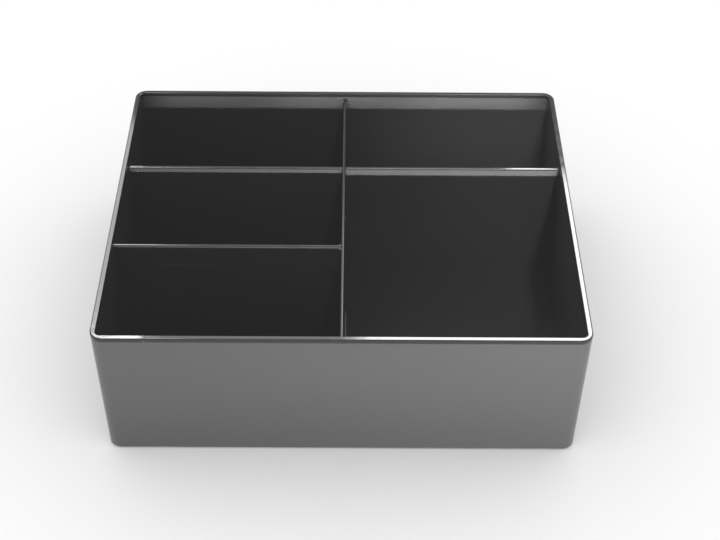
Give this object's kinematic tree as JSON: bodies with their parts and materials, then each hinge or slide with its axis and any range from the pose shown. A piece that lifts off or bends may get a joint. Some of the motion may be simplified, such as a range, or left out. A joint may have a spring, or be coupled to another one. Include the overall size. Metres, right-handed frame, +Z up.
{
  "type": "drawer organizer insert",
  "caption": "Deep black plastic drawer organizer insert, an open box with rounded corners, lift-out dividers that form unequal compartments, and non-slip feet.",
  "frame": {"origin": "centre of the footprint, on the plane that the feet stand on", "axes": "+X along the width to the right, +Y from the front to the back, +Z up out of the open top"},
  "size_m": [0.3048, 0.254, 0.1024],
  "materials": {
    "tray_plastic": "moulded glossy black, with faint handling scratches",
    "divider_plastic": "moulded glossy black",
    "foot_rubber": "matt non-slip elastomer"
  },
  "bodies": {
    "tray": {"outer_tray": "tray_plastic", "foot_front_left": "foot_rubber", "foot_front_right": "foot_rubber", "foot_back_left": "foot_rubber", "foot_back_right": "foot_rubber"},
    "cross_divider": {"cross_divider": "divider_plastic"},
    "centre_divider": {"centre_divider": "divider_plastic"},
    "short_divider": {"short_divider": "divider_plastic"}
  },
  "joints": [
    {"name": "cross_divider_lift", "type": "slide", "parent": "tray", "child": "cross_divider", "axis": [0, 0, 1], "range_m": [0, 0.105]},
    {"name": "centre_divider_lift", "type": "slide", "parent": "cross_divider", "child": "centre_divider", "axis": [0, 0, 1], "range_m": [0, 0.105]},
    {"name": "short_divider_lift", "type": "slide", "parent": "tray", "child": "short_divider", "axis": [0, 0, 1], "range_m": [0, 0.105]}
  ]
}
